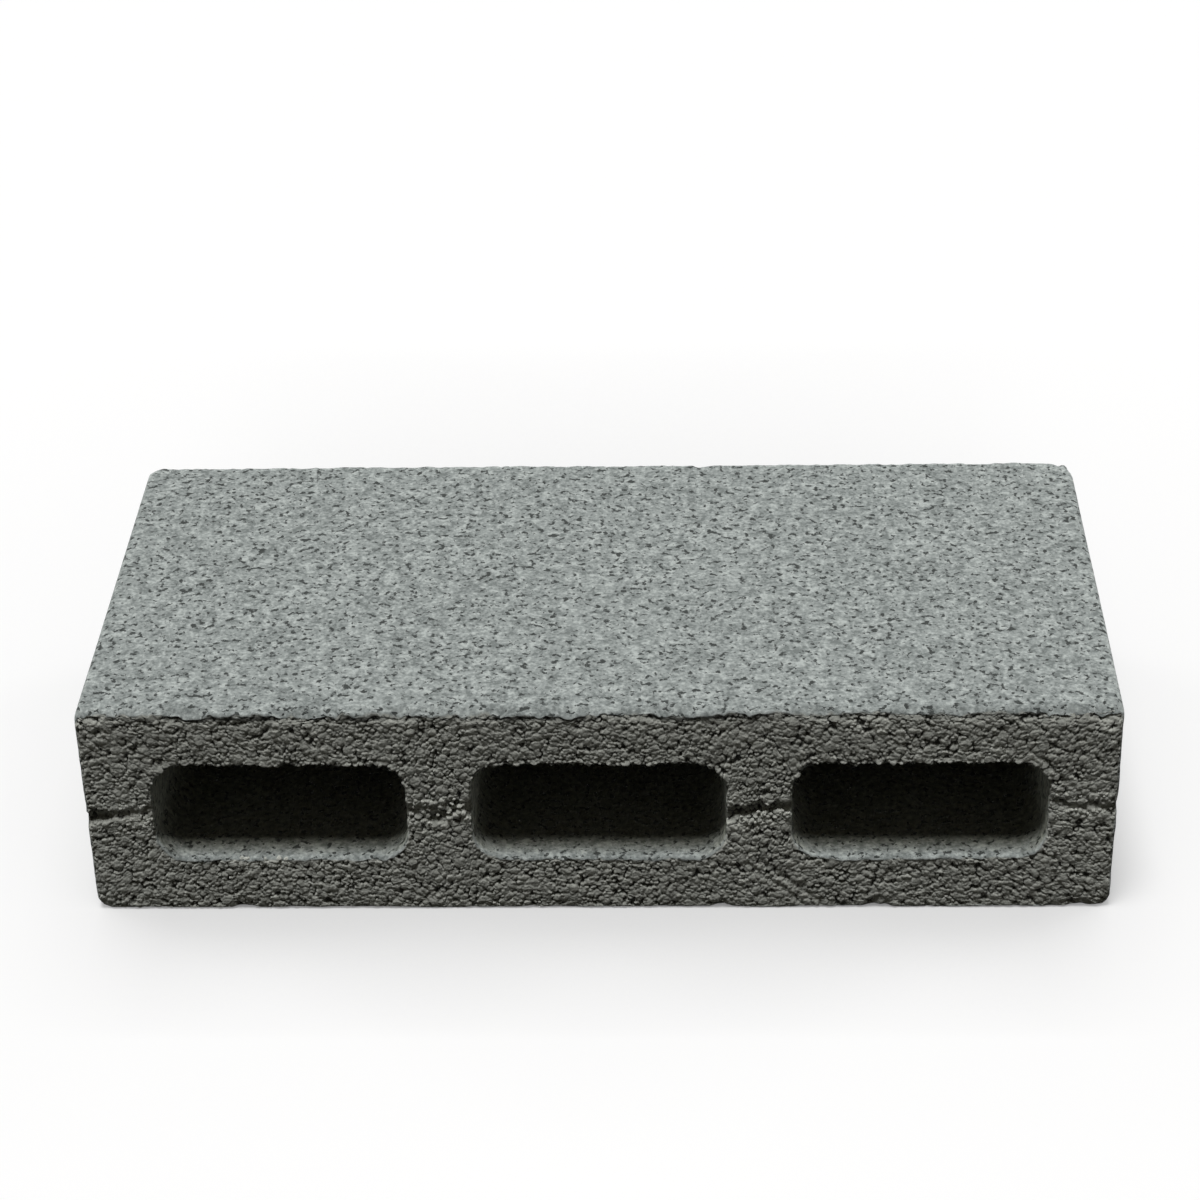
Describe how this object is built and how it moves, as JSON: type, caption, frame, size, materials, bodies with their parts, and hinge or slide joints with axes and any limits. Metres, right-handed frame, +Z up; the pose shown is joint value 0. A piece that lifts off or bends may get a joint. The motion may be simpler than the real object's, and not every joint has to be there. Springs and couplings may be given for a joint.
{
  "type": "hollow concrete block",
  "caption": "Slim hollow masonry block of lightweight aggregate concrete with tapered rectangular cells between two face shells, for partition and backing walls.",
  "frame": {"origin": "centre of the face shell that the block lies on", "axes": "+X along the block's length, +Y along the cells from the struck bed to the pallet bed, +Z up through the block's thickness"},
  "size_m": [0.397, 0.194, 0.092],
  "materials": {
    "lightweight_concrete": "dry-cast lightweight concrete, fine and close where it met the mould, open and pebbly on the struck bed"
  },
  "bodies": {
    "root": {"block": "lightweight_concrete"}
  },
  "joints": []
}
